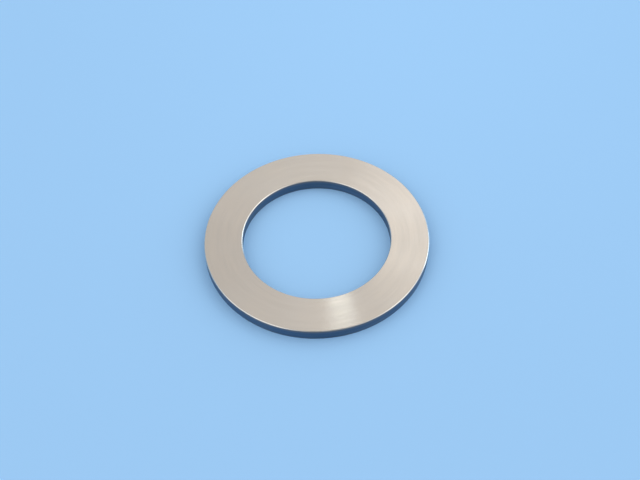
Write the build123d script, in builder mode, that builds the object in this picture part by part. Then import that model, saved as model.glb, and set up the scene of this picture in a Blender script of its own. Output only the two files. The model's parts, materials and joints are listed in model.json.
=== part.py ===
from build123d import *
import os

# Bearing shim: one flat steel ring, turned to size and then ground on both faces.
#
# Frame: the origin is the centre of the lower face and +Z runs up through the bore, so
# the ring lies flat on that face.  Lengths are in millimetres.

# Sizes that are set one by one
bore_diameter = 35.0      # passes over the shaft
outer_diameter = 53.0     # drops into the housing
thickness = 3.0           # the shim's own size, over the two ground faces
bore_edge_break = 0.15    # 45 degree break at each end of the bore
rim_edge_break = 0.15     # 45 degree break at each end of the rim

# The section's place beside the axis
bore_radius = bore_diameter / 2
rim_radius = outer_diameter / 2
face_width = rim_radius - bore_radius

os.makedirs("parts", exist_ok=True)

with BuildPart() as shim_ring:
    # The section that the lathe leaves: a rectangle between bore and rim with its
    # corners broken, so that neither ground face ends in a burr or a sharp edge
    with BuildSketch(Plane.XZ) as section:
        with Locations((bore_radius, 0)):
            Rectangle(face_width, thickness, align=Align.MIN)
        chamfer(section.vertices().group_by(Axis.X)[0], length=bore_edge_break)
        chamfer(section.vertices().group_by(Axis.X)[-1], length=rim_edge_break)
    revolve(axis=Axis.Z)

shim_ring.part.label = "shim_ring"
export_step(shim_ring.part, "parts/shim_ring.step")
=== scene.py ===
"""Bearing shim: turns the ring from its section, gives it ground faces, dark steel walls with a
painted blue reflection and bright edge breaks, and lays it on a pale bench top under soft studio
light."""

import json
import math

import bpy
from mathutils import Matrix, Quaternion, Vector


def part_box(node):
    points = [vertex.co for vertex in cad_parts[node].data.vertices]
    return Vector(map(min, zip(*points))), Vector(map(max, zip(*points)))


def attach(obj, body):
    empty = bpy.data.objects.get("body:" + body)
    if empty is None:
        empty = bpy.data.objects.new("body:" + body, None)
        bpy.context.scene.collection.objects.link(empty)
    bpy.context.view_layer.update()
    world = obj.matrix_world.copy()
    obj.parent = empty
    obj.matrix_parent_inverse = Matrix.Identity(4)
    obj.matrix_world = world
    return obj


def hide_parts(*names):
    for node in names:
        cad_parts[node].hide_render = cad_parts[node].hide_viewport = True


bl_info = {
    "name": "Bearing Shim",
    "version": (1, 0, 0),
    "blender": (4, 5, 0),
    "location": "3D View > Sidebar > Shim",
    "description": "Turns a flat steel bearing shim, finishes it and sets up its studio",
    "category": "Add Mesh",
}

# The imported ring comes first: every size below starts from it
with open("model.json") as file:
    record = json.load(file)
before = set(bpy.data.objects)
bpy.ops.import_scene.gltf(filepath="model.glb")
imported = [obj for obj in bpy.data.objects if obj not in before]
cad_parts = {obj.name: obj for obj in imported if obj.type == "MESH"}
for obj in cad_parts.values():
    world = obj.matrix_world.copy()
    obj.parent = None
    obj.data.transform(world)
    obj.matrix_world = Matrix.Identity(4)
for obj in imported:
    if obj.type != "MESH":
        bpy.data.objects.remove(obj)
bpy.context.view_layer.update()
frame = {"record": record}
mounts = {mount["name"]: mount for mount in frame["record"]["mounts"]}
shim_low, shim_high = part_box("shim_ring")

MM = 0.001
BORE_DIAMETER = 2 * mounts["bore"]["dims"]["r_mm"] * MM
RIM_DIAMETER = 2 * mounts["rim"]["dims"]["r_mm"] * MM
THICKNESS = shim_high.z - shim_low.z
BORE_BREAK = (THICKNESS - mounts["bore"]["dims"]["length_mm"] * MM) / 2
RIM_BREAK = (THICKNESS - mounts["rim"]["dims"]["length_mm"] * MM) / 2


# ---------------------------------------------------------------- sizes and colours


class ShimSizes(bpy.types.PropertyGroup):
    """The turned ring's sizes."""

    bore_diameter: bpy.props.FloatProperty(
        name="Bore Diameter",
        description="Hole that passes over the shaft",
        default=BORE_DIAMETER,
        min=0.002,
        subtype="DISTANCE",
        unit="LENGTH",
        precision=5,
    )
    rim_diameter: bpy.props.FloatProperty(
        name="Rim Diameter",
        description="Outside that drops into the housing",
        default=RIM_DIAMETER,
        min=0.004,
        subtype="DISTANCE",
        unit="LENGTH",
        precision=5,
    )
    thickness: bpy.props.FloatProperty(
        name="Thickness",
        description="Height over the two ground faces",
        default=THICKNESS,
        min=0.0002,
        subtype="DISTANCE",
        unit="LENGTH",
        precision=5,
    )
    bore_break: bpy.props.FloatProperty(
        name="Bore Edge Break",
        description="45 degree break at each end of the bore",
        default=BORE_BREAK,
        min=0.00002,
        subtype="DISTANCE",
        unit="LENGTH",
        precision=5,
    )
    rim_break: bpy.props.FloatProperty(
        name="Rim Edge Break",
        description="45 degree break at each end of the rim",
        default=RIM_BREAK,
        min=0.00002,
        subtype="DISTANCE",
        unit="LENGTH",
        precision=5,
    )
    edge_softness: bpy.props.FloatProperty(
        name="Edge Softness",
        description="Radius that deburring leaves at each corner of the breaks",
        default=0.00002,
        min=0.000001,
        subtype="DISTANCE",
        unit="LENGTH",
        precision=6,
    )
    stations: bpy.props.IntProperty(
        name="Stations",
        description="Steps round the ring",
        default=720,
        min=64,
        max=2048,
    )


class ShimFinish(bpy.types.PropertyGroup):
    """The ring's colours and how coarse its tool marks are."""

    ground_color: bpy.props.FloatVectorProperty(
        name="Ground Steel",
        description="Warm satin steel of the two ground faces",
        default=(0.622, 0.568, 0.508),
        min=0.0,
        max=1.0,
        size=3,
        subtype="COLOR",
    )
    # The blue in this wall colour is a painted reflection of the blue surroundings; the steel under it
    # is dark
    wall_color_and_painted_reflection: bpy.props.FloatVectorProperty(
        name="Wall Steel and Painted Reflection",
        description="Dark steel of the bore and the rim, tinted blue as a painted reflection",
        default=(0.094, 0.170, 0.275),
        min=0.0,
        max=1.0,
        size=3,
        subtype="COLOR",
    )
    break_color: bpy.props.FloatVectorProperty(
        name="Edge Steel",
        description="Bright steel of the edge breaks",
        default=(0.72, 0.69, 0.64),
        min=0.0,
        max=1.0,
        size=3,
        subtype="COLOR",
    )
    grinding_pitch: bpy.props.FloatProperty(
        name="Grinding Pitch",
        description="Spacing of the grinding marks that run round the faces",
        default=0.00022,
        min=0.00002,
        subtype="DISTANCE",
        unit="LENGTH",
        precision=5,
    )
    turning_pitch: bpy.props.FloatProperty(
        name="Turning Pitch",
        description="Feed of the turning marks on the bore and the rim",
        default=0.00016,
        min=0.00002,
        subtype="DISTANCE",
        unit="LENGTH",
        precision=5,
    )


class ShimStudio(bpy.types.PropertyGroup):
    """The bench top and the light that falls on it."""

    bench_color: bpy.props.FloatVectorProperty(
        name="Bench Top",
        description="Pale colour of the bench top",
        default=(0.34, 0.59, 0.89),
        min=0.0,
        max=1.0,
        size=3,
        subtype="COLOR",
    )
    room_level: bpy.props.FloatProperty(
        name="Room Level",
        description="Brightness of the room round the ring, where 1 is white",
        default=0.78,
        min=0.0,
        max=2.0,
    )
    lens: bpy.props.FloatProperty(
        name="Lens",
        description="Focal length of the camera",
        default=64.0,
        min=10.0,
        unit="CAMERA",
    )


# ---------------------------------------------------------------- small node helpers


def add_node(tree, kind, label="", **settings):
    """Adds a node, names it in plain words and applies its settings."""
    node = tree.nodes.new(kind)
    node.label = label
    for name, value in settings.items():
        setattr(node, name, value)
    return node


def put(node, **values):
    """Sets a node's unlinked inputs by name, with _ for a blank."""
    for name, value in values.items():
        node.inputs[name.replace("_", " ")].default_value = value
    return node


def math_node(tree, operation, first, second=None, label="", clamp=False):
    """One sum: each side is a number or another node's output."""
    node = add_node(tree, "ShaderNodeMath", label, operation=operation, use_clamp=clamp)
    for socket, value in zip(node.inputs, (first, second)):
        if value is None:
            continue
        if isinstance(value, (int, float)):
            socket.default_value = value
        else:
            tree.links.new(value, socket)
    return node.outputs[0]


def stretch(tree, value, low, high, new_low, new_high, smooth=False, label=""):
    """Maps a value from one span to another and holds it inside the new one."""
    node = add_node(tree, "ShaderNodeMapRange", label)
    node.interpolation_type = "SMOOTHSTEP" if smooth else "LINEAR"
    tree.links.new(value, node.inputs["Value"])
    put(node, From_Min=low, From_Max=high, To_Min=new_low, To_Max=new_high)
    return node.outputs["Result"]


def blend_color(tree, share, first, second, label=""):
    """Goes from the first colour to the second as share goes from 0 to 1."""
    node = add_node(tree, "ShaderNodeMix", label, data_type="RGBA")
    tree.links.new(share, node.inputs["Factor"])
    for socket, value in ((node.inputs["A"], first), (node.inputs["B"], second)):
        if isinstance(value, bpy.types.NodeSocket):
            tree.links.new(value, socket)
        else:
            socket.default_value = (*value[:3], 1.0)
    return node.outputs["Result"]


def tree_socket(tree, name, side, kind, default=None, low=None):
    """Adds a named input or output to a node tree."""
    socket = tree.interface.new_socket(name=name, in_out=side, socket_type=kind)
    if default is not None:
        socket.default_value = default
    if low is not None:
        socket.min_value = low
    return socket


# ---------------------------------------------------------------- the ring's shape


def turned_ring_tree():
    """Geometry Nodes: draws the section between bore and rim and takes it round the axis."""
    tree = bpy.data.node_groups.new("Turned Ring", "GeometryNodeTree")
    tree.is_modifier = True
    for name in ("Bore Radius", "Rim Radius", "Thickness", "Bore Edge Break"):
        tree_socket(tree, name, "INPUT", "NodeSocketFloat", 0.001, 0.0)
    for name in ("Rim Edge Break", "Edge Softness"):
        tree_socket(tree, name, "INPUT", "NodeSocketFloat", 0.0001, 0.0)
    tree_socket(tree, "Stations", "INPUT", "NodeSocketInt", 360, 3)
    for name in ("Ground Face", "Wall With Painted Reflection", "Edge Break"):
        tree_socket(tree, name, "INPUT", "NodeSocketMaterial")
    tree_socket(tree, "Geometry", "OUTPUT", "NodeSocketGeometry")
    link = tree.links.new
    given = add_node(tree, "NodeGroupInput", "Sizes").outputs

    # Section: a rectangle as wide as the face and as high as the shim
    width = math_node(tree, "SUBTRACT", given["Rim Radius"], given["Bore Radius"], "Face Width")
    sum_of_radii = math_node(tree, "ADD", given["Rim Radius"], given["Bore Radius"])
    middle = math_node(tree, "DIVIDE", sum_of_radii, 2.0, "Middle Radius")
    section = add_node(tree, "GeometryNodeCurvePrimitiveQuadrilateral", "Section")
    link(width, section.inputs["Width"])
    link(given["Thickness"], section.inputs["Height"])

    # Its four corners are broken at 45 degrees: one straight cut each
    place = add_node(tree, "GeometryNodeInputPosition", "Corner")
    across = add_node(tree, "ShaderNodeSeparateXYZ", "Across the Section")
    link(place.outputs[0], across.inputs[0])
    on_rim = math_node(tree, "GREATER_THAN", across.outputs["X"], 0.0, "At the Rim")
    break_size = add_node(tree, "ShaderNodeMix", "Break Size", data_type="FLOAT")
    link(on_rim, break_size.inputs["Factor"])
    link(given["Bore Edge Break"], break_size.inputs["A"])
    link(given["Rim Edge Break"], break_size.inputs["B"])
    broken = add_node(tree, "GeometryNodeFilletCurve", "Edge Breaks", mode="POLY")
    broken.inputs["Count"].default_value = 1
    link(section.outputs[0], broken.inputs["Curve"])
    link(break_size.outputs["Result"], broken.inputs["Radius"])

    # Deburring then rounds the corners of the cuts very slightly
    softened = add_node(tree, "GeometryNodeFilletCurve", "Deburred Corners", mode="POLY")
    softened.inputs["Count"].default_value = 2
    softened.inputs["Limit Radius"].default_value = True
    link(broken.outputs[0], softened.inputs["Curve"])
    link(given["Edge Softness"], softened.inputs["Radius"])

    # Round the axis: the section sits at half height on a circle of middle radius
    path = add_node(tree, "GeometryNodeCurvePrimitiveCircle", "Path Round the Axis")
    link(given["Stations"], path.inputs["Resolution"])
    link(middle, path.inputs["Radius"])
    half_height = math_node(tree, "DIVIDE", given["Thickness"], 2.0, "Half Height")
    lift = add_node(tree, "ShaderNodeCombineXYZ", "Up to Half Height")
    link(half_height, lift.inputs["Z"])
    raised = add_node(tree, "GeometryNodeTransform", "Rest on the Lower Face")
    link(path.outputs["Curve"], raised.inputs["Geometry"])
    link(lift.outputs[0], raised.inputs["Translation"])
    ring = add_node(tree, "GeometryNodeCurveToMesh", "Turn the Section")
    link(raised.outputs[0], ring.inputs["Curve"])
    link(softened.outputs[0], ring.inputs["Profile Curve"])

    # Smooth round the ring, crisp at every corner of the section
    smooth = add_node(tree, "GeometryNodeSetShadeSmooth", "Smooth Faces", domain="FACE")
    link(ring.outputs[0], smooth.inputs["Geometry"])
    corner = add_node(tree, "GeometryNodeInputMeshEdgeAngle", "Corner Angle")
    sharp = math_node(tree, "GREATER_THAN", corner.outputs["Unsigned Angle"], math.radians(4), "Sharp")
    crisp = add_node(tree, "GeometryNodeSetShadeSmooth", "Crisp Corners", domain="EDGE")
    crisp.inputs["Shade Smooth"].default_value = False
    link(smooth.outputs[0], crisp.inputs["Geometry"])
    link(sharp, crisp.inputs["Selection"])
    real = add_node(tree, "GeometryNodeRealizeInstances", "One Piece")
    link(crisp.outputs[0], real.inputs["Geometry"])

    # Finish by which way a surface faces: up or down is ground, sideways is dark steel with a painted
    # blue reflection
    normal = add_node(tree, "GeometryNodeInputNormal", "Facing")
    facing = add_node(tree, "ShaderNodeSeparateXYZ", "Facing Up")
    link(normal.outputs[0], facing.inputs[0])
    upright = math_node(tree, "ABSOLUTE", facing.outputs["Z"], None, "Up or Down")
    ground = math_node(tree, "GREATER_THAN", upright, 0.9, "Ground")
    wall = math_node(tree, "LESS_THAN", upright, 0.35, "Wall")
    last = real.outputs[0]
    for label, selection in (("Edge Break", None), ("Wall With Painted Reflection", wall), ("Ground Face", ground)):
        finish = add_node(tree, "GeometryNodeSetMaterial", label)
        link(last, finish.inputs["Geometry"])
        link(given[label], finish.inputs["Material"])
        if selection is not None:
            link(selection, finish.inputs["Selection"])
        last = finish.outputs[0]
    link(last, add_node(tree, "NodeGroupOutput", "Ring").inputs["Geometry"])
    return tree


# ---------------------------------------------------------------- the finishes


def tool_marks_group():
    """Shader group: marks that a wheel or a tool leaves as the ring turns under it."""
    tree = bpy.data.node_groups.new("Tool Marks", "ShaderNodeTree")
    tree_socket(tree, "Vector", "INPUT", "NodeSocketVector")
    tree_socket(tree, "Pitch", "INPUT", "NodeSocketFloat", 0.0002, 0.00001)
    tree_socket(tree, "Up the Wall", "INPUT", "NodeSocketFloat", 0.0, 0.0)
    tree_socket(tree, "Breakup", "INPUT", "NodeSocketFloat", 3.0, 0.0)
    tree_socket(tree, "Marks", "OUTPUT", "NodeSocketFloat")
    tree_socket(tree, "Bands", "OUTPUT", "NodeSocketFloat")
    tree_socket(tree, "Bloom", "OUTPUT", "NodeSocketFloat")
    link = tree.links.new
    given = add_node(tree, "NodeGroupInput", "Given").outputs
    given_out = add_node(tree, "NodeGroupOutput", "Marks")

    # Polar place: the radius, and the direction as a point on a circle so that no seam shows
    flat = add_node(tree, "ShaderNodeVectorMath", "Flatten", operation="MULTIPLY")
    link(given["Vector"], flat.inputs[0])
    flat.inputs[1].default_value = (1.0, 1.0, 0.0)
    reach = add_node(tree, "ShaderNodeVectorMath", "Radius", operation="LENGTH")
    link(flat.outputs["Vector"], reach.inputs[0])
    heading = add_node(tree, "ShaderNodeVectorMath", "Heading", operation="NORMALIZE")
    link(flat.outputs["Vector"], heading.inputs[0])
    apart = add_node(tree, "ShaderNodeSeparateXYZ", "Height")
    link(given["Vector"], apart.inputs[0])
    across = add_node(tree, "ShaderNodeMix", "Across the Marks", data_type="FLOAT")
    link(given["Up the Wall"], across.inputs["Factor"])
    link(reach.outputs["Value"], across.inputs["A"])
    link(apart.outputs["Z"], across.inputs["B"])
    steps = math_node(tree, "DIVIDE", across.outputs["Result"], given["Pitch"], "Marks Across")

    def round_marks(stretch_by, around, detail, label):
        """Noise that is fine across the marks and long along them."""
        turned = add_node(tree, "ShaderNodeVectorMath", label, operation="SCALE")
        link(heading.outputs["Vector"], turned.inputs[0])
        link(around, turned.inputs["Scale"])
        split = add_node(tree, "ShaderNodeSeparateXYZ", label)
        link(turned.outputs["Vector"], split.inputs[0])
        spot = add_node(tree, "ShaderNodeCombineXYZ", label)
        link(math_node(tree, "MULTIPLY", steps, stretch_by), spot.inputs["X"])
        link(split.outputs["X"], spot.inputs["Y"])
        link(split.outputs["Y"], spot.inputs["Z"])
        noise = add_node(tree, "ShaderNodeTexNoise", label, noise_dimensions="3D")
        put(noise, Scale=1.0, Detail=detail, Roughness=0.55)
        link(spot.outputs[0], noise.inputs["Vector"])
        return noise.outputs["Fac"]

    fine = round_marks(1.0, given["Breakup"], 2.0, "Fine Marks")
    wide_breakup = math_node(tree, "MULTIPLY", given["Breakup"], 0.6)
    wide = round_marks(0.18, wide_breakup, 3.0, "Wide Bands")
    cloud = add_node(tree, "ShaderNodeTexNoise", "Bloom", noise_dimensions="3D")
    put(cloud, Scale=95.0, Detail=3.0, Roughness=0.5)
    link(given["Vector"], cloud.inputs["Vector"])
    link(stretch(tree, fine, 0.25, 0.75, 0.0, 1.0), given_out.inputs["Marks"])
    link(stretch(tree, wide, 0.3, 0.7, 0.0, 1.0), given_out.inputs["Bands"])
    link(stretch(tree, cloud.outputs["Fac"], 0.35, 0.65, 0.0, 1.0, True), given_out.inputs["Bloom"])
    return tree


def steel(name, marks_group, pitch, up_wall, breakup):
    """A new metal with the shim's tool marks and a tangent that runs round the bore."""
    material = bpy.data.materials.new(name)
    material.use_nodes = True
    tree = material.node_tree
    shader = tree.nodes["Principled BSDF"]
    shader.inputs["Metallic"].default_value = 1.0
    place = add_node(tree, "ShaderNodeTexCoord", "Place on the Ring")
    marks = add_node(tree, "ShaderNodeGroup", "Tool Marks", node_tree=marks_group)
    put(marks, Pitch=pitch, Up_the_Wall=up_wall, Breakup=breakup)
    tree.links.new(place.outputs["Object"], marks.inputs["Vector"])
    round_bore = add_node(tree, "ShaderNodeTangent", "Round the Bore")
    round_bore.direction_type = "RADIAL"
    round_bore.axis = "Z"
    tree.links.new(round_bore.outputs[0], shader.inputs["Tangent"])
    shader.inputs["Anisotropic Rotation"].default_value = 0.25
    return material, tree, shader, marks


def ground_face(finish, marks_group):
    """Ground face: warm satin, its light drawn out across the grinding marks."""
    material, tree, shader, marks = steel(
        "ground_face", marks_group, finish.grinding_pitch, 0.0, 2.5
    )
    link = tree.links.new
    color = finish.ground_color
    duller = tuple(channel * 0.925 for channel in color)
    warmer = (color[0] * 1.012, color[1] * 0.992, color[2] * 0.968)
    toned = blend_color(tree, marks.outputs["Bloom"], color, warmer, "Warmer in Patches")
    fine = math_node(tree, "MULTIPLY", marks.outputs["Marks"], 0.5, "Fine Marks")
    bands = math_node(tree, "MULTIPLY", marks.outputs["Bands"], 0.5, "Wide Bands")
    depth = math_node(tree, "ADD", fine, bands, "Depth of the Marks")
    link(blend_color(tree, depth, toned, duller, "Marks Duller"), shader.inputs["Base Color"])
    satin = stretch(tree, marks.outputs["Bands"], 0.0, 1.0, 0.185, 0.205, False, "Satin")
    haze = stretch(tree, marks.outputs["Bloom"], 0.0, 1.0, -0.003, 0.006, False, "Haze")
    link(math_node(tree, "ADD", satin, haze, "Satin and Haze"), shader.inputs["Roughness"])
    shader.inputs["Anisotropic"].default_value = 1.0
    bump = add_node(tree, "ShaderNodeBump", "Grinding Marks")
    put(bump, Strength=0.15, Distance=0.00001)
    link(marks.outputs["Marks"], bump.inputs["Height"])
    link(bump.outputs[0], shader.inputs["Normal"])
    return material


def wall_with_painted_reflection(finish, thickness, marks_group):
    """Bore and rim: as turned, dark steel whose colour carries a painted blue reflection of the blue
    surroundings.
    """
    material, tree, shader, marks = steel(
        "wall_with_painted_reflection", marks_group, finish.turning_pitch, 1.0, 1.5
    )
    link = tree.links.new
    # Painted reflection: the wall colour's blue stands in for the blue surroundings that the steel
    # reflects
    color = finish.wall_color_and_painted_reflection
    greyer = (color[0] * 1.35, color[1] * 1.12, color[2] * 0.98)
    deeper = tuple(channel * 0.82 for channel in color)
    toned = blend_color(tree, marks.outputs["Bloom"], color, greyer, "Greyer in Patches")
    share = stretch(tree, marks.outputs["Bands"], 0.0, 1.0, 0.0, 0.8, False, "Feed Marks")
    marked = blend_color(tree, share, toned, deeper, "Marks Deeper")

    # Towards the upper edge, and less so towards the lower one, the wall colour goes over to brown
    # grey
    place = add_node(tree, "ShaderNodeTexCoord", "Place on the Wall")
    apart = add_node(tree, "ShaderNodeSeparateXYZ", "Height")
    link(place.outputs["Object"], apart.inputs[0])
    height = apart.outputs["Z"]
    head = stretch(tree, height, 0.62 * thickness, thickness, 0.0, 0.75, True, "Upper Edge")
    foot = stretch(tree, height, 0.0, 0.25 * thickness, 0.35, 0.0, True, "Lower Edge")
    edge = math_node(tree, "MAXIMUM", head, foot, "Both Edges")
    edge_brown_grey = (0.25, 0.23, 0.22)
    link(blend_color(tree, edge, marked, edge_brown_grey, "Brown Grey Towards the Edges"), shader.inputs["Base Color"])
    link(stretch(tree, marks.outputs["Marks"], 0.0, 1.0, 0.46, 0.54), shader.inputs["Roughness"])
    shader.inputs["Anisotropic"].default_value = 0.8
    bump = add_node(tree, "ShaderNodeBump", "Turning Marks")
    put(bump, Strength=0.15, Distance=0.00002)
    link(marks.outputs["Marks"], bump.inputs["Height"])
    link(bump.outputs[0], shader.inputs["Normal"])
    return material


def edge_break(finish, marks_group):
    """Edge breaks: cut back to bright steel after hardening."""
    material, tree, shader, marks = steel(
        "edge_break", marks_group, finish.turning_pitch * 0.4, 0.0, 6.0
    )
    link = tree.links.new
    color = finish.break_color
    darker = tuple(channel * 0.86 for channel in color)
    link(
        blend_color(tree, marks.outputs["Bloom"], color, darker, "Uneven Cut"),
        shader.inputs["Base Color"],
    )
    link(stretch(tree, marks.outputs["Marks"], 0.0, 1.0, 0.22, 0.32), shader.inputs["Roughness"])
    shader.inputs["Anisotropic"].default_value = 0.6
    return material


# ---------------------------------------------------------------- operators


class SHIM_OT_turn_ring(bpy.types.Operator):
    """Turn the ring from its section and give it its finishes"""

    bl_idname = "shim.turn_ring"
    bl_label = "Turn the Ring"

    def execute(self, context):
        sizes = context.scene.shim_sizes
        finish = context.scene.shim_finish
        if sizes.rim_diameter <= sizes.bore_diameter:
            raise ValueError("the rim has to be wider than the bore")
        marks_group = tool_marks_group()
        values = {
            "Bore Radius": sizes.bore_diameter / 2,
            "Rim Radius": sizes.rim_diameter / 2,
            "Thickness": sizes.thickness,
            "Bore Edge Break": sizes.bore_break,
            "Rim Edge Break": sizes.rim_break,
            "Edge Softness": sizes.edge_softness,
            "Stations": sizes.stations,
            "Ground Face": ground_face(finish, marks_group),
            "Wall With Painted Reflection": wall_with_painted_reflection(finish, sizes.thickness, marks_group),
            "Edge Break": edge_break(finish, marks_group),
        }
        blank = bpy.data.objects.new("ring_blank", bpy.data.meshes.new("ring_blank"))
        context.scene.collection.objects.link(blank)
        turning = blank.modifiers.new("Turned Ring", "NODES")
        turning.node_group = turned_ring_tree()
        for socket in turning.node_group.interface.items_tree:
            if socket.in_out == "INPUT":
                turning[socket.identifier] = values[socket.name]
        depsgraph = context.evaluated_depsgraph_get()
        turned = bpy.data.meshes.new_from_object(blank.evaluated_get(depsgraph))
        if not turned.polygons:
            raise RuntimeError("the section didn't turn into a ring")
        blank.modifiers.remove(turning)
        bpy.data.objects.remove(blank)
        turned.name = "ground_shim"
        ring = bpy.data.objects.new("ground_shim", turned)
        context.scene.collection.objects.link(ring)
        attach(ring, "root")
        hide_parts("shim_ring")
        return {"FINISHED"}


# Glows of the room: name, azimuth and elevation, angle within which each is full, angle at
# which it is gone, and the brightness that it adds or takes away
ROOM_GLOWS = (
    ("Right Window", 0, 20, 10, 45, 1.1),
    ("Left Window", 210, 25, 15, 45, 0.5),
    ("Skylight", 270, 75, 10, 55, 0.3),
    ("Dark Behind the Camera", 270, 35, 10, 35, -0.6),
)

DAYLIGHT = (0.87, 1.0, 1.05)
PLAIN_WHITE = (1.0, 1.0, 1.0)

# Lamps over the ring. Each row gives a name, then where the lamp shows in the top face as
# the camera sees it (azimuth and distance from the axis), then its height, its size across
# and along the radius, its brightness and its colour
FACE_LAMPS = (
    ("right_box", 5, 25, 100, (60, 40), 0.5, PLAIN_WHITE),
    ("bore_box", 20, 10, 80, (30, 15), 0.2, PLAIN_WHITE),
    ("far_box", 60, 25, 150, (80, 50), 0.3, PLAIN_WHITE),
    ("streak_lamp", 285, 15, 80, (6, 15), 2.2, DAYLIGHT),
    ("back_box", 140, 25, 120, (30, 40), 0.1, PLAIN_WHITE),
    ("front_box", 290, 20, 100, (40, 20), 0.2, PLAIN_WHITE),
)

# Upright soft box low on the right, for the bright line on the rim's edge break: name,
# azimuth, distance, height of its middle, size, brightness and colour
SIDE_LAMP = ("side_window", 30, 600, 60, (400, 120), 3.0, DAYLIGHT)

# Where the camera stands and what it looks at, in metres, and its roll in degrees
CAMERA_PLACE = Vector((0.0, -0.1646, 0.2148))
CAMERA_AIM = Vector((0.00081, 0.00145, 0.0))
CAMERA_ROLL = -2.06


def room_light(scene, level):
    """The room round the ring: bright on the right, darker behind the camera."""
    room = bpy.data.worlds.new("studio_room")
    room.use_nodes = True
    scene.world = room
    tree = room.node_tree
    tree.nodes.clear()
    link = tree.links.new
    looking = add_node(tree, "ShaderNodeTexCoord", "Looking").outputs["Generated"]
    brightness = level
    for name, azimuth, elevation, full, gone, change in ROOM_GLOWS:
        a = math.radians(azimuth)
        e = math.radians(elevation)
        towards = add_node(tree, "ShaderNodeVectorMath", name, operation="DOT_PRODUCT")
        link(looking, towards.inputs[0])
        flat = math.cos(e)
        towards.inputs[1].default_value = (math.cos(a) * flat, math.sin(a) * flat, math.sin(e))
        edge = math.cos(math.radians(gone))
        core = math.cos(math.radians(full))
        glow = stretch(tree, towards.outputs["Value"], edge, core, 0.0, change, True, name)
        brightness = math_node(tree, "ADD", glow, brightness, name)
    light = add_node(tree, "ShaderNodeBackground", "Room")
    link(brightness, light.inputs["Color"])
    link(light.outputs[0], add_node(tree, "ShaderNodeOutputWorld", "World").inputs["Surface"])


def soft_lamp(scene, name, place, size, turn, level, color):
    """A flat lamp that faces straight down. Level is its brightness, where 1 is white."""
    lamp = bpy.data.lights.new(name, "AREA")
    lamp.shape = "RECTANGLE"
    lamp.size = size[0] * MM
    lamp.size_y = size[1] * MM
    lamp.energy = level * math.pi * lamp.size * lamp.size_y
    lamp.color = color
    holder = bpy.data.objects.new(name, lamp)
    holder.location = Vector(place) * MM
    holder.rotation_euler = (0.0, 0.0, math.radians(turn))
    holder.visible_camera = False
    scene.collection.objects.link(holder)
    return holder


def face_lamp(scene, name, azimuth, distance, height, size, level, color):
    """Hang a lamp where a mirror in the top face would show it at the given spot."""
    a = math.radians(azimuth)
    spot = Vector((distance * math.cos(a), distance * math.sin(a), 0.0)) * MM
    spot.z = shim_high.z
    sight = spot - CAMERA_PLACE
    # Straight on from the camera to the face, then up again at the same slope
    climb = (height * MM - spot.z) / -sight.z
    place = (
        (spot.x + sight.x * climb) / MM,
        (spot.y + sight.y * climb) / MM,
        height,
    )
    across, along = size
    return soft_lamp(scene, name, place, (along, across), azimuth, level, color)


def upright_lamp(scene, name, azimuth, distance, height, size, level, color):
    """A flat lamp that stands on edge beside the ring and faces it."""
    a = math.radians(azimuth)
    place = (distance * math.cos(a), distance * math.sin(a), height)
    holder = soft_lamp(scene, name, place, size, 0.0, level, color)
    holder.rotation_euler = (math.radians(90), 0.0, math.radians(90 + azimuth))
    return holder


def bench_dish():
    """Bench top: flat under the ring, then rising gently far off, so that no horizon shows."""
    low = -0.00001
    flat_reach = 0.8
    reach = 2.6
    rise = 0.56
    steps = 24
    turns = 96
    points = []
    for step in range(steps + 1):
        share = step / steps
        out = flat_reach + (reach - flat_reach) * share
        up = low + rise * share * share * (3 - 2 * share)
        for turn in range(turns):
            a = 2 * math.pi * turn / turns
            points.append((out * math.cos(a), out * math.sin(a), up))
    faces = [tuple(range(turns))]
    for step in range(steps):
        near = step * turns
        far = near + turns
        for turn in range(turns):
            after = (turn + 1) % turns
            faces.append((near + turn, far + turn, far + after, near + after))
    dish = bpy.data.meshes.new("bench_top")
    dish.from_pydata(points, [], faces)
    dish.shade_smooth()
    return dish


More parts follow.
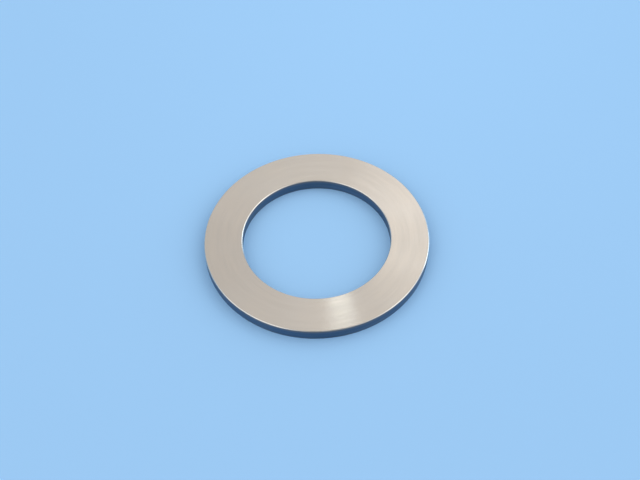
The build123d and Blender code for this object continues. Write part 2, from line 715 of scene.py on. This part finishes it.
class SHIM_OT_set_studio(bpy.types.Operator):
    """Lay the bench top, hang the lamps and stand the camera"""

    bl_idname = "shim.set_studio"
    bl_label = "Set the Studio"

    def execute(self, context):
        scene = context.scene
        studio = scene.shim_studio

        top = bench_dish()
        paint = bpy.data.materials.new("bench_paint")
        paint.use_nodes = True
        tree = paint.node_tree
        tree.nodes.remove(tree.nodes["Principled BSDF"])
        matt = add_node(tree, "ShaderNodeBsdfDiffuse", "Matt Paint")
        matt.inputs["Color"].default_value = (*studio.bench_color, 1.0)
        tree.links.new(matt.outputs[0], tree.nodes["Material Output"].inputs["Surface"])
        top.materials.append(paint)
        bench = bpy.data.objects.new("bench_top", top)
        scene.collection.objects.link(bench)

        room_light(scene, studio.room_level)
        for lamp in FACE_LAMPS:
            face_lamp(scene, *lamp)
        upright_lamp(scene, *SIDE_LAMP)

        camera = bpy.data.cameras.new("bench_camera")
        camera.lens = studio.lens
        camera.sensor_width = 36.0
        stand = bpy.data.objects.new("bench_camera", camera)
        stand.location = CAMERA_PLACE
        stand.rotation_mode = "QUATERNION"
        level_view = (CAMERA_AIM - CAMERA_PLACE).to_track_quat("-Z", "Y")
        roll = Quaternion((0.0, 0.0, 1.0), math.radians(CAMERA_ROLL))
        stand.rotation_quaternion = level_view @ roll
        scene.collection.objects.link(stand)
        scene.camera = stand
        scene.view_settings.view_transform = "Standard"
        return {"FINISHED"}


# ---------------------------------------------------------------- sidebar


class SHIM_PT_sidebar(bpy.types.Panel):
    """Sizes, colours and steps of the bearing shim"""

    bl_idname = "SHIM_PT_sidebar"
    bl_label = "Bearing Shim"
    bl_space_type = "VIEW_3D"
    bl_region_type = "UI"
    bl_category = "Shim"

    def draw(self, context):
        layout = self.layout
        groups = (
            (context.scene.shim_sizes, SHIM_OT_turn_ring),
            (context.scene.shim_finish, None),
            (context.scene.shim_studio, SHIM_OT_set_studio),
        )
        for group, operator in groups:
            box = layout.box()
            for name in group.__annotations__:
                box.prop(group, name)
            if operator is not None:
                box.operator(operator.bl_idname)


CLASSES = (
    ShimSizes,
    ShimFinish,
    ShimStudio,
    SHIM_OT_turn_ring,
    SHIM_OT_set_studio,
    SHIM_PT_sidebar,
)


def register():
    for cls in CLASSES:
        bpy.utils.register_class(cls)
    bpy.types.Scene.shim_sizes = bpy.props.PointerProperty(type=ShimSizes)
    bpy.types.Scene.shim_finish = bpy.props.PointerProperty(type=ShimFinish)
    bpy.types.Scene.shim_studio = bpy.props.PointerProperty(type=ShimStudio)


def unregister():
    del bpy.types.Scene.shim_studio
    del bpy.types.Scene.shim_finish
    del bpy.types.Scene.shim_sizes
    for cls in reversed(CLASSES):
        bpy.utils.unregister_class(cls)


def main():
    register()
    bpy.ops.shim.turn_ring()
    bpy.ops.shim.set_studio()


if __name__ == "__main__":
    main()
